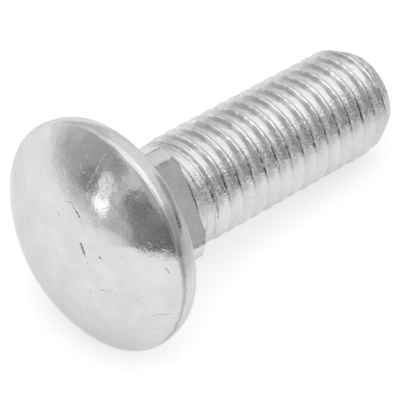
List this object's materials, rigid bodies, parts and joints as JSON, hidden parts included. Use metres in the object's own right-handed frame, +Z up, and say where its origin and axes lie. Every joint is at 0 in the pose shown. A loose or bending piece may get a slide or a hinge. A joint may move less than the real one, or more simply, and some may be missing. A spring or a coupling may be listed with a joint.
{
  "type": "carriage bolt",
  "caption": "Domed head on a square neck and a fully threaded round shank: pushed through a square hole, it clamps parts under a nut without turning.",
  "frame": {"origin": "middle of the bounding box in X and Y, on the floor that the bolt lies on", "axes": "+X runs along the floor from the head to the tip, +Z is up; the bolt's own axis dips 10.2 degrees from +X, because it rests on the rim of its head and on its last full crest"},
  "size_m": [0.036, 0.0202, 0.02],
  "materials": {
    "bolt": "bright zinc plate, lightly grained, with a few handling scratches"
  },
  "bodies": {
    "root": {"bolt": "bolt"}
  },
  "joints": []
}
